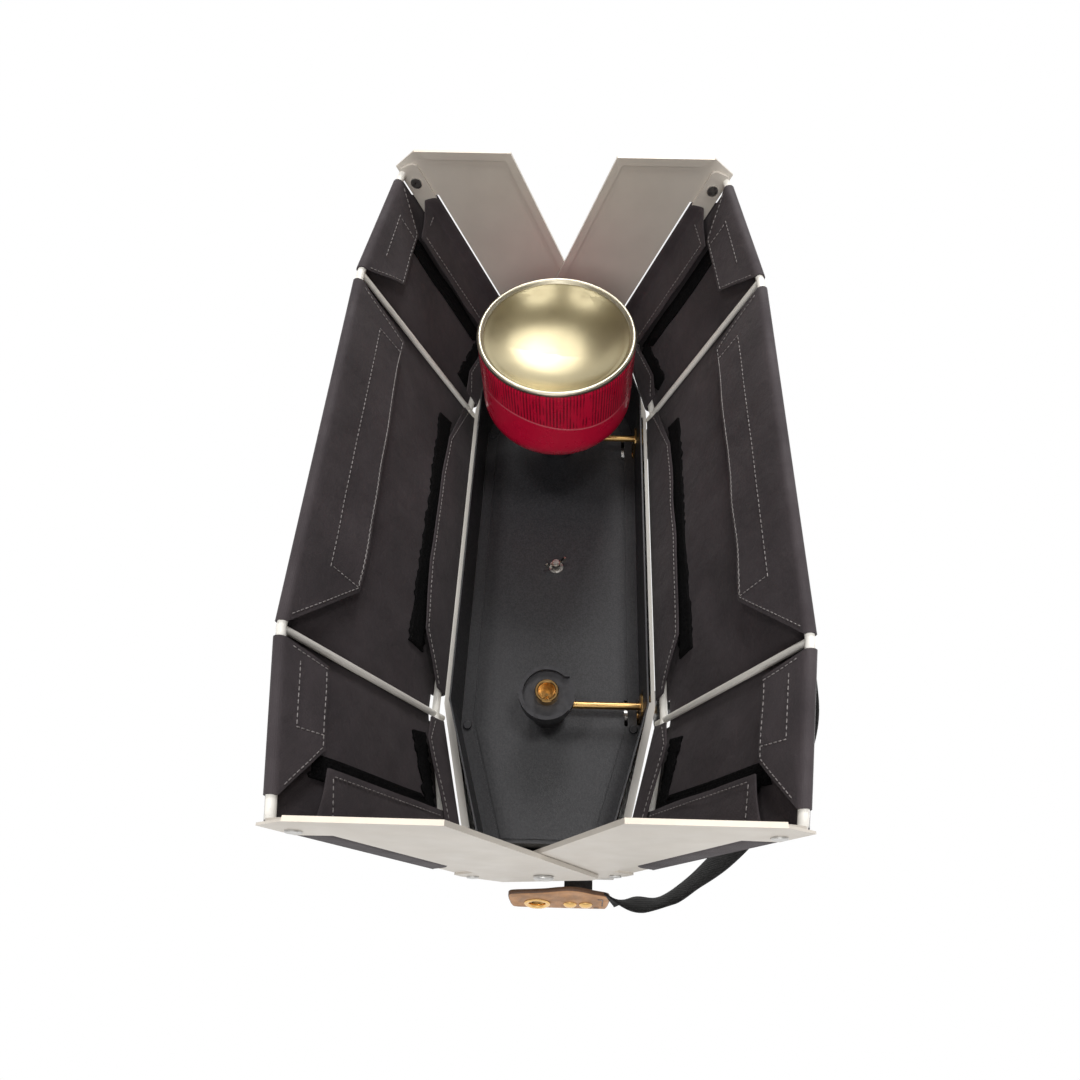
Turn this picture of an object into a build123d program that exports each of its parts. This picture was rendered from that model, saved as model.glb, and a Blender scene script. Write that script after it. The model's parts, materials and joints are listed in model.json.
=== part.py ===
from build123d import *
from math import atan2, cos, radians, sin, tan
import os

# Folding two-burner gas stove, standing open on its feet. Millimetres.
# +Z up, Z = 0 on the floor, X along the stove (right-hand burner at +X), front with the knobs at -Y.
# The two leg halves are drawn folded, about the pivot axis, and then swung open.

# ---- driving sizes -------------------------------------------------------------------------
PIVOT_Z = 158.0            # height of the leg pivots over the floor, legs open
OPEN_ANGLE = 22.5          # each leg half swings out this far from upright
SHEET = 1.2                # sheet steel of the plates and the hob frame
FIT = 0.3                  # gap kept between moving sheets and round soft parts
RUNNING = 0.05             # radial clearance of turning and sliding fits

# hob frame
FRAME_KINK_X = 120.0       # where the long sides turn in
FRAME_SIDE_Y = 67.0
FRAME_END_X = 212.0
FRAME_END_Y = 45.0
FRAME_LOW_Z = PIVOT_Z - 8.5
FRAME_TOP_Z = PIVOT_Z + 78.0
FLANGE = 4.6
LIP = 3.0
PANEL_LOW_Z = PIVOT_Z + 2.0
PANEL_HIGH_Z = PIVOT_Z + 36.0
PANEL_LAP = 4.0
PANEL_T = 0.8
PANEL_RETURN = 66.0        # how far the panel goes on past each front corner

# burner tray under the hob, inset from the frame
SKIRT_KINK_X = FRAME_KINK_X + 3.0
SKIRT_SIDE_Y = FRAME_SIDE_Y - 5.6
SKIRT_END_X = FRAME_END_X - 6.5
SKIRT_END_Y = FRAME_END_Y - 8.25
SKIRT_T = 1.0
SKIRT_LOW_Z = PIVOT_Z - 26.0
PAN_Z = PIVOT_Z + 28.0     # underside of the pan
BORDER = 9.0
GROOVE = 1.6
SCREW_R = 1.6
STUD_R = 2.0
STUD_HEAD_R = 5.0
NUT_R = 3.8
NUT_H = 6.0
WING_REACH = 8.5
WING_TURN = 66.0
DRIP_Z = PAN_Z + 15.0
DRIP_RIM = 8.0
DRIP_T = 0.8

# leg halves, folded, measured from the pivot axis
RIB_X = FRAME_KINK_X + 5.0       # ribs, at the bends of the rods
PANEL_Y = FRAME_SIDE_Y + FIT     # rods along the straight middle
POST_ROD_Y = FRAME_END_Y + 4.5   # rods where they reach the end posts
TOP_ROD_Z = -29.0
FOOT_ROD_Z = -(PIVOT_Z + 16.0)
ROD_R = 2.5
RIB_R = 2.0
RIB_SPIKE = 9.0            # rib left standing above the top rod
PLATE_INNER_Y = -27.0      # long edge of an end plate that crosses its partner
PLATE_OUTER_Y = POST_ROD_Y + 2.0  # edge beside the fabric
PLATE_TOP_Z = 25.0
PLATE_TOP_Y = PLATE_OUTER_Y - 13.0
PLATE_SHOULDER_Z = -5.0
PLATE_CHAMFER = (17.7, 12.6)
WINDOW_Y = POST_ROD_Y - 14.5     # bottom of the long notch that the wrapped post shows in
WINDOW_FOOT_Z = FOOT_ROD_Z + 24.0
WINDOW_TOP_Z = -20.0
HEM_WIDTH = 5.5
CORNER_CUT = 6.0
POST_INNER_Y = POST_ROD_Y - 12.5
POST_OUTER_Y = POST_ROD_Y + 1.5
POST_T = 2.0
POST_LOW_Z = FOOT_ROD_Z - 4.0
POST_HIGH_Z = 3.0
RIVET_Y = (POST_INNER_Y + POST_OUTER_Y) / 2
RIVET_ZS = (FOOT_ROD_Z + 9.0, -5.0)
RIVET_R = 2.0
RIVET_HEAD_R = 3.8
RIVET_HEAD_T = 1.1
CLOTH = 1.0                # doubled fabric of the leg covers
FOOT_FLAP = 55.0
TOP_FLAP = 28.0
END_FLAP = 28.0
RIB_GAP = RIB_R + 2.5      # flaps stop this far from a rib's axis

# burners, the same at both ends
BURNER_X = FRAME_KINK_X - 8.5
BURNER_Y = 2.0
SEAT_Z = PAN_Z - 35.0      # face the canister screws up to
SEAT_R = 18.0
SEAT_T = 6.0
CONNECTOR_R = 7.65
SOCKET_PROUD = 7.0         # connector below the seat's face
PIPE_Z = PAN_Z - 14.5
PIPE_R = 2.5
VALVE_W = 15.0
VALVE_BACK_Y = -FRAME_SIDE_Y + 7.5
KNOB_Z = PAN_Z - 8.5
KNOB_BACK_Y = -FRAME_SIDE_Y - 3.0
KNOB_R = 12.5
KNOB_L = 15.0
KNOB_DISC = 6.0
SPINDLE_R = 2.5
SPINDLE_REACH = 9.0        # spindle inside the knob
JET_Z = PAN_Z + 8.0
JET_R = 3.0
MIXER_R = 6.0
MIXER_T = 1.0
RISER_R = 9.0
HEAD_R = 31.0
HEAD_LOW_Z = DRIP_Z + 5.0
HEAD_WALL = 3.0
CAP_LOW_Z = HEAD_LOW_Z + 13.0
CAP_TOP_Z = CAP_LOW_Z + 8.0
SUPPORT_R = 50.0
SUPPORT_WIRE_R = 2.0
SUPPORT_REACH = 20.0       # inner ends of the arms, from the burner's axis
SUPPORT_TOP_Z = FRAME_TOP_Z + 10.0

# screw-on canister under the left-hand burner
CAN_R = 54.5
CAN_LOW_Z = SEAT_Z - 92.5
COLLAR_RECESS = 9.0        # hollow inside the collar, round the nozzle
CAN_RIM_R = 1.6
CAN_WALL = 1.0
COLLAR_R = 13.5
NOZZLE_R = 5.5
NOZZLE_TOP_Z = SEAT_Z + 4.0

# ends: pivots, leather tabs, strap
FRONT_PLATE_X = FRAME_END_X + 3.5 + SHEET    # outer face of the front half's end plates
REAR_PLATE_X = FRONT_PLATE_X + 1.5 + SHEET   # outer face of the rear half's end plates
PIVOT_R = 3.0
PIVOT_HEAD_R = 6.0
NUT_T = 4.0
TAB_T = 3.0
TAB_X = REAR_PLATE_X + 1.6
TAB_TOP_Z = FRAME_TOP_Z - 14.0
TAB_BEND_Z = TAB_TOP_Z - 16.0
TAB_LOW_Z = TAB_TOP_Z - 32.0
TAB_FLARE = 9.0
TAB_Y = (-41.0, 23.0)
TAB_FIXING_Z = TAB_TOP_Z - 8.0
TAB_BLOCK_Y = (-30.0, -12.0)
TAB_STUD_YS = (-26.0, -16.0)
EYELET_Y = 5.0
EYELET_R = 7.0
STRAP_W = 25.0
STRAP_T = 1.6

THETA = radians(OPEN_ANGLE)
FRONT, REAR = -1, 1
HALVES = {"front": FRONT, "rear": REAR}
SIDES = {"left": -1, "right": 1}
PIECES = {}


# ---- helpers -------------------------------------------------------------------------------
def keep(name, *solids):
    """Store a node; several solids become one node of separate solids."""
    PIECES[name] = solids[0] if len(solids) == 1 else Compound(children=list(solids))


def polygon(*points):
    return make_face(Polyline(*points, close=True))


def octagon(kink_x, side_y, end_x, end_y, grow=0.0):
    """Plan outline with straight long sides and tapered ends, grown by an even amount."""
    lean = atan2(side_y - end_y, end_x - kink_x)
    kink = (kink_x + grow * tan(lean / 2), side_y + grow)
    end = (end_x + grow, end_y + grow * (1 - sin(lean)) / cos(lean))
    right = [kink, end, (end[0], -end[1]), (kink[0], -kink[1])]
    return polygon(*right, *[(-x, -y) for x, y in right])


def frame_plan(grow=0.0):
    return octagon(FRAME_KINK_X, FRAME_SIDE_Y, FRAME_END_X, FRAME_END_Y, grow)


def skirt_plan(grow=0.0):
    return octagon(SKIRT_KINK_X, SKIRT_SIDE_Y, SKIRT_END_X, SKIRT_END_Y, grow)


def prism(face, low, high):
    return extrude(Pos(0, 0, low) * face, high - low, dir=(0, 0, 1))


def block(x, y, z):
    """Box from ranges."""
    sizes = [b - a for a, b in (x, y, z)]
    return Pos(*[(a + b) / 2 for a, b in (x, y, z)]) * Box(*sizes)


def bar(radius, start, end):
    """Round bar between two points."""
    start, end = Vector(*start), Vector(*end)
    plane = Plane(origin=start, z_dir=end - start)
    return extrude(plane * Circle(radius), (end - start).length)


def upright(radius, x, y, low, high):
    return Pos(x, y, (low + high) / 2) * Cylinder(radius, high - low)


def rod(radius, points):
    """Bar bent at its inner points."""
    body = bar(radius, points[0], points[1])
    for before, after in zip(points[1:-1], points[2:]):
        body += Pos(*before) * Sphere(radius)
        body += bar(radius, before, after)
    return body


def side_plate(low, high, *outline):
    """Flat plate across X from an outline in Y and Z."""
    return extrude(polygon(*[(low, y, z) for y, z in outline]), high - low, dir=(1, 0, 0))


def turned(outline, x=0, y=0):
    """Solid of revolution about an upright axis from an outline in radius and Z."""
    face = polygon(*[(r, 0, z) for r, z in outline])
    return Pos(x, y, 0) * revolve(face, Axis.Z)


def largest(part):
    return part.solids().sort_by(SortBy.VOLUME)[-1]


def both_ends(part):
    return [part, mirror(part, about=Plane.YZ)]


def opened(part, half):
    """Place a folded leg part: mirror it for the front half, then swing it out."""
    if half == FRONT:
        part = mirror(part, about=Plane.XZ)
    return Pos(0, 0, PIVOT_Z) * Rot(half * OPEN_ANGLE, 0, 0) * part


# ---- leg halves ----------------------------------------------------------------------------
def floor_z(y):
    """Folded height of the line that lies on the floor once the leg is swung open."""
    return -(PIVOT_Z + y * sin(THETA)) / cos(THETA)


def plate_outline():
    chamfer_y = PLATE_OUTER_Y - PLATE_CHAMFER[0]
    return [
        (PLATE_INNER_Y, floor_z(PLATE_INNER_Y)),
        (chamfer_y, floor_z(chamfer_y)),
        (PLATE_OUTER_Y, floor_z(PLATE_OUTER_Y) + PLATE_CHAMFER[1]),
        (PLATE_OUTER_Y, WINDOW_FOOT_Z - 5),
        (WINDOW_Y, WINDOW_FOOT_Z),
        (WINDOW_Y, WINDOW_TOP_Z),
        (PLATE_OUTER_Y, WINDOW_TOP_Z + 6),
        (PLATE_OUTER_Y, PLATE_SHOULDER_Z),
        (PLATE_TOP_Y, PLATE_TOP_Z),
        (PLATE_INNER_Y + CORNER_CUT, PLATE_TOP_Z),
        (PLATE_INNER_Y, PLATE_TOP_Z - CORNER_CUT),
    ]


def hems(face_x):
    """Edges folded back flat: the long inner edge and the edge that stands on the floor."""
    foot_end_y = PLATE_OUTER_Y - PLATE_CHAMFER[0]
    rise = HEM_WIDTH / cos(THETA)
    inside_y = PLATE_INNER_Y + HEM_WIDTH
    corner = (PLATE_INNER_Y, floor_z(PLATE_INNER_Y))
    mitre = (inside_y, floor_z(inside_y) + rise)
    top_z = PLATE_TOP_Z - CORNER_CUT
    long_edge = [corner, mitre, (inside_y, top_z - HEM_WIDTH), (PLATE_INNER_Y, top_z)]
    foot_edge = [corner, mitre, (foot_end_y - HEM_WIDTH, floor_z(foot_end_y - HEM_WIDTH) + rise),
                 (foot_end_y, floor_z(foot_end_y))]
    return [side_plate(face_x - SHEET, face_x, *outline) for outline in (long_edge, foot_edge)]


def end_plate(outer_x):
    plate = side_plate(outer_x - SHEET, outer_x, *plate_outline())
    for hem in hems(outer_x - SHEET):
        plate += hem
    plate -= bar(PIVOT_R + RUNNING, (outer_x - 5, 0, 0), (outer_x + 5, 0, 0))
    for z in RIVET_ZS:
        plate -= bar(RIVET_R, (outer_x - 5, RIVET_Y, z), (outer_x + 5, RIVET_Y, z))
    return plate


def end_post(outer_x):
    """Flat bar that carries the ends of the rods, riveted inside the end plate."""
    high_x = outer_x - SHEET
    post = block((high_x - POST_T, high_x), (POST_INNER_Y, POST_OUTER_Y), (POST_LOW_Z, POST_HIGH_Z))
    post = fillet(post.edges().filter_by(Axis.X), 4)
    for z in RIVET_ZS:
        post -= bar(RIVET_R, (high_x - 5, RIVET_Y, z), (high_x + 1, RIVET_Y, z))
    return post


def rivet(outer_x, z):
    inside = outer_x - SHEET - POST_T
    shank = bar(RIVET_R, (inside, RIVET_Y, z), (outer_x, RIVET_Y, z))
    outer = bar(RIVET_HEAD_R, (outer_x, RIVET_Y, z), (outer_x + RIVET_HEAD_T, RIVET_Y, z))
    outer = fillet(outer.edges().sort_by(Axis.X)[-1], RIVET_HEAD_T * 0.6)
    inner = bar(RIVET_HEAD_R, (inside - RIVET_HEAD_T, RIVET_Y, z), (inside, RIVET_Y, z))
    return shank + outer + inner


def leg_rod(z, end_x):
    right = [(RIB_X, PANEL_Y, z), (end_x, POST_ROD_Y, z)]
    return rod(ROD_R, [(-x, y, z) for x, y, z in reversed(right)] + right)


def plan_strip(start, end, near, far):
    """Plan outline beside a line, between two distances out from it."""
    start, end = Vector(*start), Vector(*end)
    out = (end - start).normalized().rotate(Axis.Z, 90)
    return polygon(start + out * near, end + out * near, end + out * far, start + out * far)


def hooked(start, end):
    """Fabric hooked over both rods between two plan points: edges and inside flaps."""
    gap = ROD_R + FIT
    low, high = FOOT_ROD_Z - gap, TOP_ROD_Z + gap
    edge = plan_strip(start, end, -gap - CLOTH, gap + CLOTH)
    flap = plan_strip(start, end, -gap - CLOTH, -gap)
    return (prism(edge, low - CLOTH, low) + prism(edge, high, high + CLOTH)
            + prism(flap, low, FOOT_ROD_Z + FOOT_FLAP) + prism(flap, TOP_ROD_Z - TOP_FLAP, high))


def outer_sheet(points):
    """Fabric outside the rods; outline points carry their own mitres."""
    return prism(polygon(*points), FOOT_ROD_Z - ROD_R - FIT - CLOTH, TOP_ROD_Z + ROD_R + FIT + CLOTH)


def mitre_points():
    lean = atan2(PANEL_Y - POST_ROD_Y, FRONT_PLATE_X - SHEET - POST_T - RIB_X)
    outs = (ROD_R + FIT, ROD_R + FIT + CLOTH)
    return [(RIB_X + out * tan(lean / 2), PANEL_Y + out) for out in outs]


def middle_cover():
    near, far = mitre_points()
    sheet = outer_sheet([near, far, (-far[0], far[1]), (-near[0], near[1])])
    reach = RIB_X - RIB_GAP
    return sheet + hooked((-reach, PANEL_Y), (reach, PANEL_Y))


def corner_cover(outer_x):
    """Fabric from a rib to the end, wrapped round the post through the notch of the plate."""
    gap = ROD_R + FIT
    rib, end = Vector(RIB_X, PANEL_Y), Vector(outer_x - SHEET - POST_T, POST_ROD_Y)
    along = (end - rib).normalized()
    out = along.rotate(Axis.Z, 90)
    near, far = mitre_points()
    stop = end - along * (FIT + CLOTH)
    cover = outer_sheet([near, far, stop + out * (gap + CLOTH), stop + out * gap])
    cover += hooked(tuple(rib + along * RIB_GAP), tuple(stop))
    low_x, high_x = outer_x - SHEET - POST_T - FIT, outer_x - SHEET + 0.05
    in_y, out_y = POST_INNER_Y - FIT, (stop + out * gap).Y
    plan = [
        polygon((stop + out * gap), (stop + out * (gap + CLOTH)),
                (high_x + CLOTH, out_y + CLOTH), (high_x + CLOTH, out_y)),
        polygon((high_x, in_y - CLOTH), (high_x + CLOTH, in_y - CLOTH),
                (high_x + CLOTH, out_y + CLOTH / 2), (high_x, out_y + CLOTH / 2)),
        polygon((low_x - CLOTH, in_y - CLOTH), (high_x + CLOTH, in_y - CLOTH),
                (high_x + CLOTH, in_y), (low_x - CLOTH, in_y)),
        polygon((low_x - CLOTH, in_y - CLOTH), (low_x, in_y - CLOTH),
                (low_x, POST_ROD_Y - gap), (low_x - CLOTH, POST_ROD_Y - gap)),
    ]
    flap = plan_strip(tuple(end - along * END_FLAP), tuple(end - along * (FIT + CLOTH / 2)),
                      -gap - CLOTH, -gap)
    for face in plan + [flap]:
        cover += prism(face, WINDOW_FOOT_Z + 3, TOP_ROD_Z - ROD_R - 4)
    return cover


def make_half(name, half):
    outer_x = FRONT_PLATE_X if half == FRONT else REAR_PLATE_X
    post = end_post(outer_x)
    end_x = outer_x - SHEET - POST_T
    foot_rod, top_rod = leg_rod(FOOT_ROD_Z, end_x + 1), leg_rod(TOP_ROD_Z, end_x + 1)
    trim = block((-end_x, end_x), (-100, 100), (-300, 100))
    foot_rod, top_rod = foot_rod & trim, top_rod & trim
    rib = bar(RIB_R, (RIB_X, PANEL_Y, FOOT_ROD_Z), (RIB_X, PANEL_Y, TOP_ROD_Z)) - foot_rod - top_rod
    spike = bar(RIB_R, (RIB_X, PANEL_Y, TOP_ROD_Z), (RIB_X, PANEL_Y, TOP_ROD_Z + RIB_SPIKE)) - top_rod
    groups = {
        "foot_rod": [foot_rod],
        "top_rod": [top_rod],
        "ribs": both_ends(largest(rib)) + both_ends(largest(spike)),
        "posts": both_ends(post),
        "rivets": [s for z in RIVET_ZS for s in both_ends(rivet(outer_x, z))],
        "cover_middle": [middle_cover()],
    }
    for ends, part in (("end_plate", end_plate(outer_x)), ("cover", corner_cover(outer_x))):
        for side, solid in zip(("right", "left"), both_ends(part)):
            groups[f"{ends}_{side}"] = [solid]
    for piece, solids in groups.items():
        keep(f"{name}_{piece}", *[opened(s, half) for s in solids])


# ---- hob frame and tray --------------------------------------------------------------------
def hob_frame():
    """Octagonal wall with a lip on top and a flange below, open at the front for the panel."""
    inside = frame_plan(-SHEET)
    frame = prism(frame_plan(), FRAME_LOW_Z, FRAME_TOP_Z) - prism(inside, 0, FRAME_TOP_Z + 1)
    frame += prism(frame_plan() - frame_plan(-FLANGE), FRAME_LOW_Z, FRAME_LOW_Z + SHEET)
    frame += prism(frame_plan() - frame_plan(-LIP), FRAME_TOP_Z - SHEET, FRAME_TOP_Z)
    half_length = FRAME_KINK_X - 4
    frame -= block((-half_length, half_length), (-FRAME_SIDE_Y - 1, -FRAME_SIDE_Y + SHEET + 0.5),
                   (PANEL_LOW_Z, PANEL_HIGH_Z))
    frame -= block((-half_length, half_length), (-FRAME_SIDE_Y + 2 * SHEET, -FRAME_SIDE_Y + 10),
                   (FRAME_LOW_Z - 1, FRAME_LOW_Z + SHEET + 1))
    return frame - bar(PIVOT_R, (-FRAME_END_X - 1, 0, PIVOT_Z), (FRAME_END_X + 1, 0, PIVOT_Z))


def control_panel():
    """Stainless strip behind the front opening and round its corners, holed for each spindle."""
    strip = frame_plan(-SHEET) - frame_plan(-SHEET - PANEL_T)
    reach = FRAME_KINK_X + PANEL_RETURN
    end_y = FRAME_SIDE_Y - PANEL_RETURN * (FRAME_SIDE_Y - FRAME_END_Y) / (FRAME_END_X - FRAME_KINK_X)
    low, high = PANEL_LOW_Z - PANEL_LAP, PANEL_HIGH_Z + PANEL_LAP
    panel = prism(strip, low, high) & block((-reach, reach), (-FRAME_SIDE_Y, 5 - end_y), (low, high))
    for side in SIDES.values():
        x = side * BURNER_X
        panel -= bar(SPINDLE_R + 0.6, (x, -FRAME_SIDE_Y, KNOB_Z), (x, -FRAME_SIDE_Y + 4, KNOB_Z))
    return panel


def skirt():
    """Hanging wall of the tray with the border that holds the pan."""
    wall = prism(skirt_plan(), SKIRT_LOW_Z, PAN_Z + SKIRT_T) - prism(skirt_plan(-SKIRT_T), 0, PAN_Z + 9)
    border = prism(skirt_plan() - skirt_plan(-BORDER), PAN_Z, PAN_Z + SKIRT_T)
    body = wall + border
    for side in SIDES.values():
        half = VALVE_W / 2 + 1
        body -= block((side * BURNER_X - half, side * BURNER_X + half), (-FRAME_SIDE_Y, VALVE_BACK_Y + 1),
                      (PIPE_Z - 11.5, PAN_Z + 5))
        for y in (-1, 1):
            x, depth = side * SKIRT_KINK_X, y * (SKIRT_SIDE_Y - BORDER * 0.6)
            body -= upright(SCREW_R, x, depth, PAN_Z - 2, PAN_Z + 3)
    return body


def pan():
    """Pan inside the groove, on a ledge strip, pierced for the stud and the risers."""
    body = prism(skirt_plan(-BORDER - GROOVE), PAN_Z, PAN_Z + SKIRT_T)
    ledge = prism(skirt_plan(-BORDER + 1.5) - skirt_plan(-BORDER - GROOVE - 3),
                  PAN_Z + SKIRT_T, PAN_Z + 2 * SKIRT_T)
    body += ledge
    body -= upright(STUD_R, 0, 0, PAN_Z - 5, PAN_Z + 5)
    for side in SIDES.values():
        body -= block((side * BURNER_X - 9, side * BURNER_X + 9), (-FRAME_SIDE_Y, VALVE_BACK_Y + 9.5),
                      (PAN_Z - 2, PAN_Z + 5))
    return body


def skirt_screw(x, y):
    head = fillet(upright(SCREW_R + 1.4, x, y, PAN_Z - 1.6, PAN_Z).edges().sort_by(Axis.Z)[0], 0.8)
    return head + upright(SCREW_R, x, y, PAN_Z - 0.1, PAN_Z + 3 + SKIRT_T)


def drip_tray():
    """Tray that catches spills, its rim up against the frame."""
    reach = -SHEET - FIT
    tray = prism(frame_plan(reach), DRIP_Z, DRIP_Z + DRIP_T)
    tray += (prism(frame_plan(reach), DRIP_Z, DRIP_Z + DRIP_RIM)
             - prism(frame_plan(reach - DRIP_T), 0, DRIP_Z + DRIP_RIM + 1))
    tray -= upright(STUD_R, 0, 0, DRIP_Z - 5, DRIP_Z + 5)
    for side in SIDES.values():
        tray -= upright(24, side * BURNER_X, BURNER_Y, DRIP_Z - 2, DRIP_Z + 2)
    return tray


def centre_stud():
    top = DRIP_Z + DRIP_T
    low = PAN_Z - NUT_H - 3
    washer = upright(NUT_R + 1.5, 0, 0, PAN_Z - 0.8, PAN_Z)
    return upright(STUD_R, 0, 0, low, top) + upright(STUD_HEAD_R, 0, 0, top, top + 2.5) + washer


def wing_nut():
    high = PAN_Z - 1
    low = high - NUT_H
    hub = turned([(STUD_R + RUNNING, low), (NUT_R - 0.8, low), (NUT_R, high), (STUD_R + RUNNING, high)])
    wing = polygon((NUT_R - 1, 0, low + 1), (WING_REACH - 2, 0, low - 3), (WING_REACH - 0.5, 0, low - 2.8),
                   (WING_REACH, 0, low - 1), (WING_REACH - 1, 0, low + 2), (NUT_R - 1, 0, high - 1))
    blade = extrude(wing, 0.6, dir=(0, 1, 0), both=True)
    return Rot(0, 0, WING_TURN) * (hub + blade + Rot(0, 0, 180) * blade)


# ---- burners -------------------------------------------------------------------------------
def canister_seat(x):
    """Plastic seat under the pan with a rim that is open towards the front."""
    y = BURNER_Y
    seat = upright(SEAT_R, x, y, SEAT_Z, SEAT_Z + SEAT_T) + upright(12, x, y, SEAT_Z, PAN_Z)
    rim = upright(SEAT_R, x, y, SEAT_Z - 3.5, SEAT_Z) - upright(SEAT_R - 2.5, x, y, 0, SEAT_Z)
    rim -= block((x - 11, x + 11), (y - 30, y), (SEAT_Z - 5, SEAT_Z))
    seat += rim
    seat -= upright(CONNECTOR_R, x, y, SEAT_Z - 5, PAN_Z + 1)
    return seat - block((x - PIPE_R, x + PIPE_R), (y - 30, y), (PIPE_Z - PIPE_R, PIPE_Z + PIPE_R))


def connector(x):
    """Brass body with the threaded socket and its centre pin."""
    y, socket_z = BURNER_Y, NOZZLE_TOP_Z + 3
    body = upright(CONNECTOR_R, x, y, SEAT_Z - SOCKET_PROUD, PIPE_Z + 6)
    body -= upright(NOZZLE_R + RUNNING, x, y, SEAT_Z - SOCKET_PROUD - 1, socket_z)
    body = chamfer(body.edges().filter_by(GeomType.CIRCLE).sort_by(Axis.Z)[:2], 0.5)
    return body + upright(1.0, x, y, NOZZLE_TOP_Z - 2.5, socket_z + 1)


def gas_pipe(x):
    start = BURNER_Y - CONNECTOR_R + 0.5
    pipe = bar(PIPE_R, (x, start, PIPE_Z), (x, VALVE_BACK_Y, PIPE_Z))
    return pipe - upright(CONNECTOR_R, x, BURNER_Y, PIPE_Z - 9, PIPE_Z + 9)


def valve_body(x):
    """Brass valve behind the panel, with the jet that feeds the mixing tube."""
    front = -FRAME_SIDE_Y + SHEET + PANEL_T
    half = VALVE_W / 2
    body = block((x - half, x + half), (front, VALVE_BACK_Y), (PIPE_Z - 6, JET_Z + 5))
    body = chamfer(body.edges().filter_by(Axis.Y), 2)
    body += bar(JET_R, (x, VALVE_BACK_Y - 1, JET_Z), (x, VALVE_BACK_Y + 4, JET_Z))
    return body - bar(SPINDLE_R + RUNNING, (x, front - 1, KNOB_Z), (x, VALVE_BACK_Y - 1.5, KNOB_Z))


def spindle(x):
    return bar(SPINDLE_R, (x, VALVE_BACK_Y - 1.8, KNOB_Z), (x, KNOB_BACK_Y - SPINDLE_REACH, KNOB_Z))


def knob(x):
    """Round black knob with a raised grip bar and a fluted rim."""
    back = KNOB_BACK_Y
    body = bar(KNOB_R, (x, back, KNOB_Z), (x, back - KNOB_DISC, KNOB_Z))
    body = fillet(body.edges().filter_by(GeomType.CIRCLE).sort_by(Axis.Y)[0], 1.2)
    grip = block((x - 3, x + 3), (back - KNOB_L, back - KNOB_DISC + 1),
                 (KNOB_Z - KNOB_R + 1.5, KNOB_Z + KNOB_R - 1.5))
    body += fillet(grip.edges().filter_by(Axis.Y), 2)
    for i in range(16):
        flute = Rot(0, i * 22.5, 0) * bar(1.3, (KNOB_R + 0.6, 1, 0), (KNOB_R + 0.6, -KNOB_DISC, 0))
        body -= Pos(x, back, KNOB_Z) * flute
    return body - bar(SPINDLE_R, (x, back + 1, KNOB_Z), (x, back - SPINDLE_REACH, KNOB_Z))


def mixer(x):
    """Tube from the jet to the middle of the burner, on a riser that stands on the pan."""
    start, y = VALVE_BACK_Y + 1.5, BURNER_Y
    riser = upright(RISER_R, x, y, PAN_Z + SKIRT_T, HEAD_LOW_Z)
    outer = bar(MIXER_R, (x, start, JET_Z), (x, y, JET_Z)) + riser
    inner = bar(MIXER_R - MIXER_T, (x, start - 1, JET_Z), (x, y, JET_Z))
    return outer - inner - upright(RISER_R - MIXER_T - 1, x, y, JET_Z, HEAD_LOW_Z + 1)


def burner_head(x):
    wall, floor = HEAD_WALL, HEAD_LOW_Z + HEAD_WALL
    bowl = turned([(RISER_R - 2, HEAD_LOW_Z), (RISER_R + 4, HEAD_LOW_Z), (HEAD_R, HEAD_LOW_Z + 6),
                   (HEAD_R, CAP_LOW_Z), (HEAD_R - wall, CAP_LOW_Z), (HEAD_R - wall, floor + 4),
                   (RISER_R + 3, floor), (RISER_R - 2, floor)], x, BURNER_Y)
    for i in range(24):
        port = bar(1.0, (HEAD_R - wall - 2, 0, CAP_LOW_Z), (HEAD_R + 2, 0, CAP_LOW_Z))
        bowl -= Pos(x, BURNER_Y, 0) * Rot(0, 0, i * 15) * port
    return bowl


def burner_cap(x):
    rise = CAP_TOP_Z - CAP_LOW_Z
    cap = turned([(0, CAP_LOW_Z), (HEAD_R - 0.5, CAP_LOW_Z), (HEAD_R - 0.5, CAP_LOW_Z + rise * 0.35),
                  (HEAD_R * 0.6, CAP_LOW_Z + rise * 0.8), (0, CAP_TOP_Z)], x, BURNER_Y)
    return cap


def pot_support(x):
    """Stand for a pot: a flat ring on the drip tray and four wire arms that reach inwards."""
    low, high = DRIP_Z + DRIP_T + RUNNING, SUPPORT_TOP_Z - SUPPORT_WIRE_R
    ring_in, ring_out = SUPPORT_R - 3, SUPPORT_R + 3
    stand = upright(ring_out, 0, 0, low, low + 2.5) - upright(ring_in, 0, 0, low - 1, low + 4)
    arm = rod(SUPPORT_WIRE_R, [(SUPPORT_R, 0, low + 1), (SUPPORT_R, 0, high),
                                (SUPPORT_REACH, 0, high)])
    for i in range(4):
        stand += Rot(0, 0, 45 + 90 * i) * arm
    return Pos(x, BURNER_Y, 0) * stand


# ---- canister ------------------------------------------------------------------------------
CAN_HOLLOW = [(0, 15), (20, 13.5), (38, 8.5), (49, 2)]   # radius and rise of the domed-in bottom
CAN_SHOULDER = [(53.2, 28.7), (50, 22.2), (45, 17.2), (38, 13.1), (29, 10), (20, 8.4)]


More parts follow.
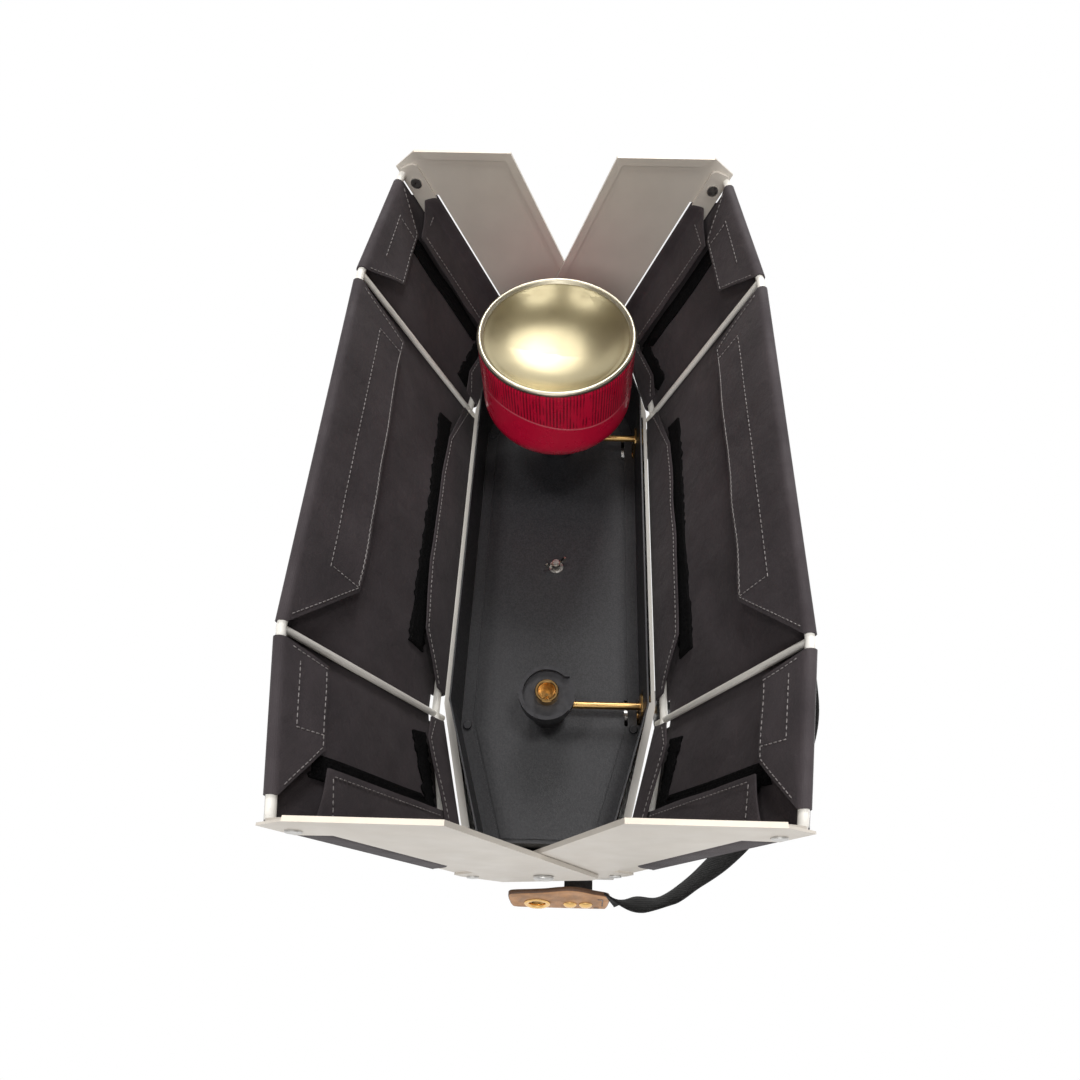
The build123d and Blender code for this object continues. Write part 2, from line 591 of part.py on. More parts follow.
def canister_shell(x):
    """Steel can: wall and shoulder, domed-in bottom, collar round the valve."""
    rim, inner = CAN_LOW_Z + CAN_RIM_R, CAN_R - 0.2 - CAN_WALL
    top = SEAT_Z - FIT
    shoulder = [(r * CAN_R / 54.5, top - drop) for r, drop in CAN_SHOULDER]
    hollow = [(r * CAN_R / 54.5, CAN_LOW_Z + rise) for r, rise in CAN_HOLLOW]
    outer = hollow + [
        (CAN_R - 4, CAN_LOW_Z), (CAN_R - 0.6, CAN_LOW_Z), (CAN_R, rim), (CAN_R, rim + 1),
        (CAN_R - 1, rim + 2.4), (CAN_R - 0.2, rim + 4), (CAN_R - 0.2, top - 35.7), *shoulder,
        (COLLAR_R, top - 7.6), (COLLAR_R, top - 0.7), (COLLAR_R - 0.7, top), (COLLAR_R - 2, top),
        (COLLAR_R - 2.7, top - 0.7), (COLLAR_R - 2.7, top - COLLAR_RECESS), (0, top - COLLAR_RECESS)]
    cavity = [(r, z + CAN_WALL) for r, z in hollow[:3]] + [
        (inner - 2, CAN_LOW_Z + 4), (inner, rim + 5), (inner, top - 35.7),
        *[(r - CAN_WALL * 0.9, z - CAN_WALL) for r, z in shoulder[:-1]],
        (shoulder[-1][0], shoulder[-1][1] - CAN_WALL * 1.2),
        (COLLAR_R - 2, top - COLLAR_RECESS - CAN_WALL), (0, top - COLLAR_RECESS - CAN_WALL)]
    return turned(outer, x, BURNER_Y) - turned(cavity, x, BURNER_Y)


def canister_valve(x):
    base = SEAT_Z - FIT - COLLAR_RECESS
    return turned([(0, base), (COLLAR_R - 3.2, base), (NOZZLE_R + 1.5, base + 1.2),
                   (NOZZLE_R, base + 1.6), (NOZZLE_R, NOZZLE_TOP_Z - 0.6),
                   (NOZZLE_R - 0.6, NOZZLE_TOP_Z), (2.2, NOZZLE_TOP_Z), (2.2, NOZZLE_TOP_Z - 3.5),
                   (0, NOZZLE_TOP_Z - 3.5)], x, BURNER_Y)


# ---- pivots, tabs and strap ----------------------------------------------------------------
def pivot_bolt():
    inside, outside = FRAME_END_X - SHEET - NUT_T - 0.5, REAR_PLATE_X + FIT
    head = bar(PIVOT_HEAD_R, (outside, 0, PIVOT_Z), (outside + 2.2, 0, PIVOT_Z))
    head = fillet(head.edges().sort_by(Axis.X)[-1], 1.5)
    return bar(PIVOT_R, (inside, 0, PIVOT_Z), (outside, 0, PIVOT_Z)) + head


def ring(low, high, inner, outer):
    """Washer or nut blank on the pivot axis."""
    return bar(outer, (low, 0, PIVOT_Z), (high, 0, PIVOT_Z)) - bar(
        inner, (low - 1, 0, PIVOT_Z), (high + 1, 0, PIVOT_Z))


def pivot_nut():
    low, high = FRAME_END_X - SHEET - NUT_T, FRAME_END_X - SHEET
    nut = extrude(Plane(origin=(low, 0, PIVOT_Z), z_dir=(1, 0, 0)) * RegularPolygon(5.0, 6), high - low)
    return nut - bar(PIVOT_R, (low - 1, 0, PIVOT_Z), (high + 1, 0, PIVOT_Z))


def leather_tab():
    """Leather tongue screwed outside the end plates, its lower part lifting outwards."""
    flat = side_plate(TAB_X, TAB_X + TAB_T, (TAB_Y[0], TAB_BEND_Z), (TAB_Y[0] + 3, TAB_TOP_Z),
                      (TAB_Y[1] - 3, TAB_TOP_Z), (TAB_Y[1], TAB_BEND_Z))
    profile = polygon((TAB_X, 0, TAB_BEND_Z), (TAB_X + TAB_T, 0, TAB_BEND_Z),
                      (TAB_X + TAB_FLARE + TAB_T, 0, TAB_LOW_Z), (TAB_X + TAB_FLARE, 0, TAB_LOW_Z))
    tongue = extrude(profile, 100, dir=(0, 1, 0), both=True)
    point = (TAB_Y[0] + TAB_Y[1]) / 2 - 7
    shape = side_plate(TAB_X - 5, TAB_X + 30, (TAB_Y[0], TAB_BEND_Z + 1), (TAB_Y[0], TAB_LOW_Z + 9),
                       (point, TAB_LOW_Z), (TAB_Y[1], TAB_LOW_Z + 7), (TAB_Y[1], TAB_BEND_Z + 1))
    body = flat + (tongue & shape)
    return body - bar(EYELET_R, (TAB_X - 5, EYELET_Y, TAB_FIXING_Z), (TAB_X + 10, EYELET_Y, TAB_FIXING_Z))


def tab_block():
    """Spacer between the end of the frame and the leather tab, over the end plates."""
    return block((FRAME_END_X, TAB_X), TAB_BLOCK_Y, (TAB_FIXING_Z - 6, TAB_FIXING_Z + 6))


def eyelet():
    def across(radius, low, high):
        return bar(radius, (TAB_X + low, EYELET_Y, TAB_FIXING_Z), (TAB_X + high, EYELET_Y, TAB_FIXING_Z))

    tube = across(EYELET_R, 0, TAB_T) + across(EYELET_R + 0.6, TAB_T, TAB_T + 0.8)
    return tube - across(EYELET_R - 1.5, -1, TAB_T + 2)


def tab_stud(y):
    head = bar(4.5, (TAB_X + TAB_T, y, TAB_FIXING_Z), (TAB_X + TAB_T + 1.8, y, TAB_FIXING_Z))
    return fillet(head.edges().sort_by(Axis.X)[-1], 1.2)


STRAP_ROUTE = [  # centre of the webbing as shares of its reach, and its outward side, tab to middle
    ((1.0000, -0.0000, 0.0000), (1.0, 0.0, 0.0)),
    ((1.0247, 0.1148, 0.0248), (0.9, -0.4, 0.1)),
    ((1.0337, 0.2823, 0.0621), (0.8, -0.6, 0.1)),
    ((1.0022, 0.4856, 0.1242), (0.6, -0.8, 0.1)),
    ((0.9573, 0.6411, 0.2360), (0.5, -0.85, 0.1)),
    ((0.9169, 0.7727, 0.4224), (0.4, -0.9, 0.2)),
    ((0.8629, 0.8923, 0.6335), (0.3, -0.95, 0.15)),
    ((0.7910, 1.0120, 0.8323), (0.2, -0.98, 0.08)),
    ((0.7101, 1.0718, 0.9565), (0.1, -0.99, 0.03)),
    ((0.6292, 1.0598, 0.9938), (0.0, -0.99, 0.12)),
    ((0.5169, 1.0120, 1.0000), (0.0, -0.924, 0.383)),
    ((0.2697, 1.0000, 1.0000), (0.0, -0.924, 0.383)),
    ((0.0000, 1.0000, 1.0000), (0.0, -0.924, 0.383)),
]
STRAP_START = (TAB_X + 1.5, TAB_Y[0] - 1.4, TAB_BEND_Z)
STRAP_LOW_Z = 45.0
STRAP_CLEAR = 2.2          # middle of the webbing stands off the front cover by this much


def strap_low_y():
    """Place along Y where the webbing lies against the cover of the open front half."""
    out = PANEL_Y + ROD_R + FIT + CLOTH
    down = (PIVOT_Z + out * sin(THETA) - STRAP_LOW_Z) / cos(THETA)
    return -(out * cos(THETA) + down * sin(THETA) + STRAP_CLEAR)


def strap_point(x, y, z):
    start_x, start_y, start_z = STRAP_START
    return (x * start_x, start_y + y * (strap_low_y() - start_y), start_z + z * (STRAP_LOW_Z - start_z))


def ribbon_section(before, centre, after, normal):
    """Cross-section of the webbing at one point of its path."""
    along = (Vector(*after) - Vector(*before)).normalized()
    across = along.cross(Vector(*normal)).normalized()
    plane = Plane(origin=Vector(*centre), x_dir=across, z_dir=along)
    return plane * Rectangle(STRAP_W, STRAP_T)


def shoulder_strap():
    right = [(strap_point(*shares), out) for shares, out in STRAP_ROUTE]
    left = [((-x, y, z), (-nx, ny, nz)) for (x, y, z), (nx, ny, nz) in right[:-1]]
    path = right + left[::-1]
    centres = [point for point, _ in path]
    spans = zip([centres[0]] + centres[:-1], path, centres[1:] + [centres[-1]])
    sections = [ribbon_section(a, c, b, normal) for a, (c, normal), b in spans]
    return loft(sections, ruled=True)


# ---- put together --------------------------------------------------------------------------
def make_hob():
    keep("hob_frame", hob_frame())
    keep("control_panel", control_panel())
    keep("burner_skirt", skirt())
    keep("pan_plate", pan())
    corners = [(sx * SKIRT_KINK_X, sy * (SKIRT_SIDE_Y - BORDER * 0.6)) for sx in (-1, 1) for sy in (-1, 1)]
    keep("skirt_screws", *[skirt_screw(x, y) for x, y in corners])
    keep("drip_tray", drip_tray())
    keep("centre_stud", centre_stud())
    keep("wing_nut", wing_nut())
    for name, side in SIDES.items():
        x = side * BURNER_X
        for piece, make in (("canister_seat", canister_seat), ("connector", connector),
                            ("gas_pipe", gas_pipe), ("valve_body", valve_body),
                            ("spindle", spindle), ("knob", knob), ("mixer", mixer),
                            ("burner_head", burner_head), ("burner_cap", burner_cap),
                            ("pot_support", pot_support)):
            keep(f"{piece}_{name}", make(x))


def make_ends():
    keep("pivot_bolts", *both_ends(pivot_bolt()))
    keep("pivot_nuts", *both_ends(pivot_nut()))
    inner = ring(FRAME_END_X, FRONT_PLATE_X - SHEET - 0.1, PIVOT_R, 6.5)
    outer = ring(FRONT_PLATE_X + 0.1, REAR_PLATE_X - SHEET - 0.1, PIVOT_R, 6.5)
    keep("pivot_spacers", *both_ends(inner), *both_ends(outer))
    for name, solid in zip(("right", "left"), both_ends(leather_tab())):
        keep(f"leather_tab_{name}", solid)
    keep("tab_blocks", *both_ends(tab_block()))
    fittings = [eyelet(), *[tab_stud(y) for y in TAB_STUD_YS]]
    keep("tab_fittings", *[s for fitting in fittings for s in both_ends(fitting)])
    keep("shoulder_strap", shoulder_strap())


def make_canister():
    x = SIDES["left"] * BURNER_X
    keep("canister_shell", canister_shell(x))
    keep("canister_valve", canister_valve(x))


make_hob()
make_ends()
make_canister()
for half_name, half_side in HALVES.items():
    make_half(half_name, half_side)

os.makedirs("parts", exist_ok=True)
for node, shape in PIECES.items():
    export_step(shape, f"parts/{node}.step")
print(len(PIECES), "parts")
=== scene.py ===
import json
from math import cos, hypot, pi, radians, sin

import bmesh
import bpy
from mathutils import Matrix, Vector, noise


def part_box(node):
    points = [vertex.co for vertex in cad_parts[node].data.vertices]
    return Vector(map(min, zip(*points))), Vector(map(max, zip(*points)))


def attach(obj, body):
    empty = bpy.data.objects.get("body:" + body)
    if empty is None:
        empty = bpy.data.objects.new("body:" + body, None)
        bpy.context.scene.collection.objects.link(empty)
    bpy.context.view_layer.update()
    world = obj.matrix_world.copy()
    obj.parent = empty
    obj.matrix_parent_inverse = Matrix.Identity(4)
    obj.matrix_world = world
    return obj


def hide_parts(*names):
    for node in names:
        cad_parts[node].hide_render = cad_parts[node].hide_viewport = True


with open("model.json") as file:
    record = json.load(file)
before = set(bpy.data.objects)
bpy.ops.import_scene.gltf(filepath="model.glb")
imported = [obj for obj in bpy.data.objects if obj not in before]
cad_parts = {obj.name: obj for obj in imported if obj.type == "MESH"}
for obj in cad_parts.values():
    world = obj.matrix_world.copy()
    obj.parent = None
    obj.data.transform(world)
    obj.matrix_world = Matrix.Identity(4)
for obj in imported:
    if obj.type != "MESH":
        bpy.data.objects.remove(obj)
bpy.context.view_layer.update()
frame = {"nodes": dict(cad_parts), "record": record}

# Leg halves are described folded, in millimetres: x along the stove, y out from the middle, z from
# the pivot axis. place() turns that into the open stance, in metres.
PIVOT_Z, OPEN_ANGLE = 158.0, radians(22.5)
RIB_X, PANEL_Y, POST_ROD_Y = 125.0, 67.3, 49.5
TOP_ROD_Z, FOOT_ROD_Z = -29.0, -174.0
WRAP_R = 3.2               # radius of the cloth's middle round a rod
POST_X = {"front": 213.5, "rear": 216.2}
CLOTH = 0.0009             # thickness of the canvas, in metres
STRIP_T = 0.0011           # thickness of the hook strips, in metres
PROUD = 0.62               # stitches stand this far off the middle of the cloth
OUT = Vector((0, 1, 0))


def place(half):
    side = -1 if half == "front" else 1
    turn = Matrix.Rotation(side * OPEN_ANGLE, 4, "X") @ Matrix.Diagonal((1, side, 1, 1))
    return Matrix.Translation((0, 0, PIVOT_Z / 1000)) @ turn @ Matrix.Scale(0.001, 4)


# ---- materials -----------------------------------------------------------------------------
def rgba(color):
    return (*color, 1.0)


class Shader:
    """A node material built up a feature at a time."""

    def __init__(self, name, color, rough, metal=0.0, turn=0.0):
        self.mat = bpy.data.materials.new(name)
        self.mat.use_nodes = True
        self.nodes, self.links = self.mat.node_tree.nodes, self.mat.node_tree.links
        self.bsdf = self.nodes["Principled BSDF"]
        self.bsdf.inputs["Base Color"].default_value = rgba(color)
        self.bsdf.inputs["Roughness"].default_value = rough
        self.bsdf.inputs["Metallic"].default_value = metal
        self.mat.diffuse_color = rgba(color)
        self.coords = self.add("ShaderNodeTexCoord").outputs["Object"]
        if turn:
            mapping = self.add("ShaderNodeMapping")
            mapping.inputs["Rotation"].default_value = (turn, 0, 0)
            self.link(self.coords, mapping.inputs["Vector"])
            self.coords = mapping.outputs["Vector"]
        self.color = None
        self.height = None

    def add(self, kind, **values):
        node = self.nodes.new(kind)
        for key, value in values.items():
            setattr(node, key, value)
        return node

    def link(self, source, target):
        self.links.new(source, target)

    def set(self, **values):
        for key, value in values.items():
            self.bsdf.inputs[key.replace("_", " ")].default_value = value
        return self

    def scaled(self, scale):
        mapping = self.add("ShaderNodeMapping")
        mapping.inputs["Scale"].default_value = scale
        self.link(self.coords, mapping.inputs["Vector"])
        return mapping.outputs["Vector"]

    def noise(self, scale, detail=3.0, stretch=None, rough=0.55):
        node = self.add("ShaderNodeTexNoise")
        node.inputs["Scale"].default_value = scale
        node.inputs["Detail"].default_value = detail
        node.inputs["Roughness"].default_value = rough
        self.link(self.scaled(stretch) if stretch else self.coords, node.inputs["Vector"])
        return node.outputs["Fac"]

    def math(self, operation, a, b=0.0):
        node = self.add("ShaderNodeMath", operation=operation)
        for socket, value in zip(node.inputs, (a, b)):
            if isinstance(value, (int, float)):
                socket.default_value = value
            else:
                self.link(value, socket)
        return node.outputs[0]

    def ranged(self, fac, low, high, to_low=0.0, to_high=1.0):
        node = self.add("ShaderNodeMapRange")
        names = ("From Min", "From Max", "To Min", "To Max")
        for key, value in zip(names, (low, high, to_low, to_high)):
            node.inputs[key].default_value = value
        self.link(fac, node.inputs["Value"])
        return node.outputs[0]

    def mix(self, fac, a, b):
        node = self.add("ShaderNodeMix", data_type="RGBA")
        self.link(fac, node.inputs["Factor"])
        for socket, value in ((node.inputs[6], a), (node.inputs[7], b)):
            if isinstance(value, tuple):
                socket.default_value = rgba(value)
            else:
                self.link(value, socket)
        self.color = node.outputs[2]
        self.link(self.color, self.bsdf.inputs["Base Color"])
        return self

    def mottle(self, dark, light, scale, detail=4.0, low=0.35, high=0.65, stretch=None):
        return self.mix(self.ranged(self.noise(scale, detail, stretch), low, high), dark, light)

    def rough_noise(self, scale, low, high, stretch=None):
        self.link(self.ranged(self.noise(scale, 3, stretch), 0.3, 0.7, low, high),
                  self.bsdf.inputs["Roughness"])
        return self

    def bump(self, height, depth, strength=1.0):
        """Surface relief, depth in millimetres; later calls ride on earlier ones."""
        node = self.add("ShaderNodeBump")
        node.inputs["Distance"].default_value = depth / 1000
        node.inputs["Strength"].default_value = strength
        self.link(height, node.inputs["Height"])
        if self.height:
            self.link(self.height, node.inputs["Normal"])
        self.height = node.outputs["Normal"]
        self.link(self.height, self.bsdf.inputs["Normal"])
        return self

    def wave(self, direction, period, distort=0.0):
        """Parallel bands, period in millimetres."""
        node = self.add("ShaderNodeTexWave", bands_direction=direction)
        node.inputs["Scale"].default_value = 2 * pi / (20 * period / 1000)
        node.inputs["Distortion"].default_value = distort
        node.inputs["Detail"].default_value = 1.0
        self.link(self.coords, node.inputs["Vector"])
        return node.outputs["Fac"]


def powder_coat(name, color, wear=0.03):
    dark = tuple(c * (1 - wear) for c in color)
    light = tuple(min(1, c * (1 + wear)) for c in color)
    shader = Shader(name, color, 0.42).mottle(dark, light, 35)
    shader.rough_noise(60, 0.36, 0.5)
    return shader.bump(shader.noise(1900, 2), 0.05, 0.35).mat


def textured_black(name):
    shader = Shader(name, (0.022, 0.022, 0.024), 0.4)
    shader.mottle((0.014, 0.014, 0.016), (0.031, 0.03, 0.033), 900, 2)
    shader.rough_noise(700, 0.34, 0.52)
    return shader.bump(shader.noise(1300, 3), 0.16, 0.7).mat


def brushed(name, color, rough):
    """Steel brushed along the stove."""
    stretch = (0.02, 1, 1)
    shader = Shader(name, color, rough, 1.0)
    shader.mottle(tuple(c * 0.86 for c in color), color, 900, 3, stretch=stretch)
    shader.rough_noise(700, rough * 0.8, rough * 1.3, stretch)
    return shader.bump(shader.noise(1500, 2, stretch), 0.02, 0.5).mat


def turned_metal(name, color, rough):
    shader = Shader(name, color, rough, 1.0).mottle(tuple(c * 0.8 for c in color), color, 160)
    shader.rough_noise(260, rough * 0.7, rough * 1.5)
    return shader.bump(shader.noise(900, 2), 0.02, 0.4).mat


def lacquered(name, color, rough):
    """Clear-lacquered drawn tinplate: smooth, with a faint rolled cloudiness."""
    shader = Shader(name, color, rough, 1.0).mottle(tuple(c * 0.93 for c in color), color, 45)
    return shader.bump(shader.noise(60, 2), 0.05, 0.3).rough_noise(30, rough * 0.92, rough * 1.1).mat


def canvas(name, half, dark=(0.017, 0.0125, 0.0145), light=(0.046, 0.036, 0.039)):
    """Tightly woven charcoal canvas; the weave lies along the leg's own plane."""
    turn = {"front": OPEN_ANGLE, "rear": -OPEN_ANGLE}.get(half, 0.0)
    shader = Shader(name, light, 0.82, turn=turn).mottle(dark, light, 26, 6, 0.25, 0.75)
    fine = shader.noise(2600, 2)
    shader.mix(shader.ranged(fine, 0.3, 0.75, 0.0, 0.3), shader.color, tuple(c * 1.7 for c in light))
    warp = shader.wave("X", 0.62, 0.6)
    weft = shader.wave("Z", 0.62, 0.6)
    shader.bump(shader.noise(40, 5), 3.6, 0.6)
    shader.bump(shader.math("MULTIPLY", warp, weft), 0.16, 0.5)
    shader.rough_noise(40, 0.72, 0.92)
    return shader.set(Sheen_Weight=0.06, Sheen_Roughness=0.4).mat


def velcro(name):
    shader = Shader(name, (0.002, 0.002, 0.002), 1.0)
    shader.mottle((0.0004, 0.0004, 0.0004), (0.009, 0.0085, 0.009), 1100, 5)
    return shader.bump(shader.noise(1500, 5), 0.9, 1.0).set(Specular_IOR_Level=0.1).mat


def webbing_mat():
    shader = Shader("webbing_black", (0.01, 0.01, 0.01), 0.8)
    shader.mottle((0.003, 0.003, 0.003), (0.012, 0.0115, 0.0115), 300)
    shader.bump(shader.math("MULTIPLY", shader.wave("X", 1.4, 0.3), shader.wave("Z", 1.1, 0.3)), 0.4, 0.8)
    return shader.set(Specular_IOR_Level=0.3).mat


def leather_mat(name, color):
    shader = Shader(name, color, 0.5)
    shader.mottle(tuple(c * 0.62 for c in color), tuple(c * 1.15 for c in color), 90, 6)
    cells = shader.add("ShaderNodeTexVoronoi")
    cells.inputs["Scale"].default_value = 1400
    shader.link(shader.coords, cells.inputs["Vector"])
    shader.bump(shader.noise(160, 4), 0.4, 0.4)
    return shader.bump(cells.outputs["Distance"], 0.15, 0.6).rough_noise(120, 0.42, 0.62).mat


def plastic(name, color, rough):
    shader = Shader(name, color, rough)
    shader.mottle(tuple(c * 0.8 for c in color), tuple(c * 1.2 for c in color), 400)
    return shader.bump(shader.noise(1800, 2), 0.05, 0.5).rough_noise(300, rough * 0.85, rough * 1.15).mat


def canister_paint(axis_x, axis_y, low):
    """Red enamel with a band of fine dark upright lines that ends in a wave."""
    shader = Shader("canister_red", (0.52, 0.006, 0.03), 0.3)
    split = shader.add("ShaderNodeSeparateXYZ")
    shader.link(shader.coords, split.inputs[0])
    east = shader.math("SUBTRACT", split.outputs[0], axis_x)
    north = shader.math("SUBTRACT", split.outputs[1], axis_y)
    angle = shader.math("ARCTAN2", north, east)
    lines = shader.ranged(shader.math("SINE", shader.math("MULTIPLY", angle, 150)), -0.2, 0.7)
    broken = shader.ranged(shader.noise(170, 3, (1, 1, 0.25)), 0.38, 0.5)
    sway = shader.math("MULTIPLY", shader.math("SINE", shader.math("MULTIPLY", angle, 2)), 0.006)
    height = shader.math("SUBTRACT", split.outputs[2], low)
    above = shader.ranged(shader.math("ADD", height, sway), 0.033, 0.0335, 1.0, 0.0)
    lined = shader.math("MULTIPLY", shader.math("MULTIPLY", lines, broken), above)
    shader.mix(lined, (0.72, 0.008, 0.05), (0.24, 0.005, 0.02))
    edge = shader.math("ABSOLUTE", shader.math("SUBTRACT", shader.math("ADD", height, sway), 0.0345))
    shader.mix(shader.ranged(edge, 0.0005, 0.0009, 0.75, 0.0), shader.color, (0.85, 0.2, 0.24))
    shader.bump(shader.noise(400, 2), 0.02, 0.3).rough_noise(90, 0.24, 0.36)
    return shader.set(Coat_Weight=0.35, Coat_Roughness=0.12).mat


def thread_mat():
    shader = Shader("thread_grey", (0.2, 0.18, 0.175), 0.7)
    shader.mottle((0.12, 0.11, 0.105), (0.3, 0.275, 0.27), 900)
    return shader.bump(shader.noise(3000, 2), 0.1, 0.6).mat


PAINT = powder_coat("paint_warm_grey", (0.57, 0.525, 0.465))
ROD_PAINT = powder_coat("paint_light_grey", (0.78, 0.755, 0.70))
FRAME_PAINT = powder_coat("paint_frame", (0.60, 0.57, 0.52))
TRAY = textured_black("tray_textured_black")
STAINLESS = brushed("stainless_brushed", (0.66, 0.65, 0.63), 0.24)
ZINC = turned_metal("zinc_bright", (0.6, 0.59, 0.57), 0.33)
NICKEL = turned_metal("nickel", (0.72, 0.66, 0.6), 0.22)
BRASS = lacquered("brass_turned", (0.88, 0.56, 0.22), 0.22)
SEAT = plastic("seat_plastic", (0.022, 0.021, 0.024), 0.36)
KNOB = plastic("knob_plastic", (0.018, 0.018, 0.018), 0.45)
CAST = plastic("burner_cast", (0.06, 0.06, 0.06), 0.6)
ENAMEL = plastic("cap_enamel", (0.018, 0.018, 0.018), 0.38)
CANVAS = {half: canvas(f"canvas_{half}", half) for half in ("front", "rear")}
VELCRO = velcro("hook_strip")
THREAD = thread_mat()
WEBBING = webbing_mat()
LEATHER = leather_mat("leather_tan", (0.46, 0.235, 0.105))
LEATHER_EDGE = leather_mat("leather_edge", (0.10, 0.045, 0.02))

FINISHES = {
    "frame_metal": FRAME_PAINT, "plate_metal": PAINT, "rod_paint": ROD_PAINT, "stainless": STAINLESS,
    "tray_black": TRAY, "screw_steel": ZINC, "rivet_steel": ZINC, "nut_nickel": NICKEL,
    "brass": BRASS, "seat_plastic": SEAT, "burner_alloy": CAST, "burner_cap": ENAMEL,
    "knob_plastic": KNOB, "leather": LEATHER, "webbing": WEBBING,
    "cover_fabric": CANVAS["front"], "canister_paint": BRASS,
}
DARK_PIECES = ("tab_blocks", "skirt_screws")
for part in frame["record"]["subparts"]:
    node, slot = part["node"], part["material_slot"]
    slots = frame["nodes"][node].data.materials
    slots.clear()
    slots.append(TRAY if node in DARK_PIECES else FINISHES[slot])


# ---- mesh helpers --------------------------------------------------------------------------
def mesh_object(name, verts, faces, *materials, smooth=True, matrix=None):
    mesh = bpy.data.meshes.new(name)
    mesh.from_pydata([tuple(v) for v in verts], [], faces)
    if matrix:
        mesh.transform(matrix)
    work = bmesh.new()
    work.from_mesh(mesh)
    bmesh.ops.remove_doubles(work, verts=work.verts, dist=1e-6)
    bmesh.ops.recalc_face_normals(work, faces=work.faces)
    work.to_mesh(mesh)
    work.free()
    for material in materials:
        mesh.materials.append(material)
    for face in mesh.polygons:
        face.use_smooth = smooth
    thing = bpy.data.objects.new(name, mesh)
    bpy.context.scene.collection.objects.link(thing)
    return thing


def apply_modifiers(thing):
    bpy.context.view_layer.update()
    graph = bpy.context.evaluated_depsgraph_get()
    mesh = bpy.data.meshes.new_from_object(thing.evaluated_get(graph))
    thing.modifiers.clear()
    thing.data = mesh
    return thing


def thicken(thing, amount, rounded=True):
    solid = thing.modifiers.new("thickness", "SOLIDIFY")
    solid.thickness, solid.offset = amount, 0.0
    solid.use_even_offset = rounded
    if rounded:
        edge = thing.modifiers.new("edge", "BEVEL")
        edge.width, edge.segments = amount * 0.3, 2
        edge.limit_method, edge.angle_limit = "ANGLE", radians(50)
    return apply_modifiers(thing)


def grid_faces(rows, cols, wrap=False, keep=None):
    faces = []
    for r in range(rows - 1):
        for c in range(cols if wrap else cols - 1):
            if keep is None or keep(r, c):
                d = (c + 1) % cols
                faces.append((r * cols + c, r * cols + d, (r + 1) * cols + d, (r + 1) * cols + c))
    return faces


def lathe(name, outline, centre, materials, pick=None, segments=128):
    """Turned piece from an outline of radius and height in millimetres."""
    verts = [((centre[0] + r * cos(2 * pi * s / segments)) / 1000,
              (centre[1] + r * sin(2 * pi * s / segments)) / 1000, z / 1000)
             for r, z in outline for s in range(segments)]
    thing = mesh_object(name, verts, grid_faces(len(outline), segments, wrap=True), *materials)
    if pick:
        for face in thing.data.polygons:
            face.material_index = pick(face.center)
    return thing


def smooth_line(points, steps):
    """Catmull-Rom line through points."""
    points = [Vector(p) for p in points]
    ends = [2 * points[0] - points[1], *points, 2 * points[-1] - points[-2]]
    line = []
    for a, b, c, d in zip(ends, ends[1:], ends[2:], ends[3:]):
        for i in range(steps):
            t = i / steps
            line.append(0.5 * (2 * b + (c - a) * t + (2 * a - 5 * b + 4 * c - d) * t * t
                               + (3 * b - a - 3 * c + d) * t ** 3))
    return line + [points[-1]]


def spread(low, high, count, *marks):
    """Evenly spread numbers with extra marks put in."""
    values = {low + (high - low) * i / count for i in range(count + 1)}
    return sorted({round(v, 3) for v in values | {m for m in marks if low <= m <= high}})


def ramp(table, x):
    """Straight-line lookup in (x, value) pairs."""
    if x <= table[0][0]:
        return table[0][1]
    for (x0, v0), (x1, v1) in zip(table, table[1:]):
        if x <= x1:
            return v0 + (v1 - v0) * (x - x0) / max(x1 - x0, 1e-9)
    return table[-1][1]


# ---- leg covers ----------------------------------------------------------------------------
# Depth of each inside flap over x, measured from the rod it is hooked over.
FOOT_FLAPS = {
    "left": [(-207, 0), (-188, 29), (-144, 32), (-127, 0)],
    "middle": [(-116, 0), (-107, 48), (84, 47.5), (122, 0)],
    "right": [(130.5, 0), (134.5, 31), (179, 29), (206, 0)],
}
TOP_FLAPS = {
    "left": [(-211, 0), (-208, 7), (-180, 12), (-146, 20), (-131, 15), (-130, 0)],
    "middle": [(-116, 0), (-114.5, 15), (-74, 31), (30, 34), (78, 30), (110, 8), (112, 0)],
    "right": [(130, 0), (131, 14), (146, 20), (180, 12), (208, 7), (211, 0)],
}
SEED = {"front": 3.7, "rear": 11.3}


def rod_y(x, half):
    lean = (PANEL_Y - POST_ROD_Y) / (POST_X[half] - RIB_X)
    return PANEL_Y - max(0.0, abs(x) - RIB_X) * lean


def wander(x, z, half, size, seed=0.0):
    """Smooth random height over the cloth, about -1 to 1."""
    return 2 * noise.noise(Vector((x / size, z / size, SEED[half] + seed)))


def panel_point(x, z, half):
    """Outer field of the cover, pulled in a little between the rods."""
    t = (TOP_ROD_Z - z) / (TOP_ROD_Z - FOOT_ROD_Z)
    across = max(0.0, 4 * t * (1 - t))
    field = max(0.0, cos(pi / 2 * min(1, abs(x) / RIB_X))) if abs(x) < RIB_X else 0.6 * sin(
        pi * (abs(x) - RIB_X) / (POST_X[half] - RIB_X))
    sag = -1.6 * across * field
    wave = across * (1.2 * wander(x, z, half, 50) + 0.5 * wander(x, z, half, 19, 5))
    return Vector((x, rod_y(x, half) + WRAP_R + sag + wave * min(1, field + 0.2), z))


def top_slack(x, half):
    """How far the loose cloth over the top rod reaches in beyond the rod, towards the hob frame."""
    end = min(1.0, max(0.0, abs(x) - RIB_X) / (POST_X[half] - RIB_X))
    return 1.6 + 8.4 * end


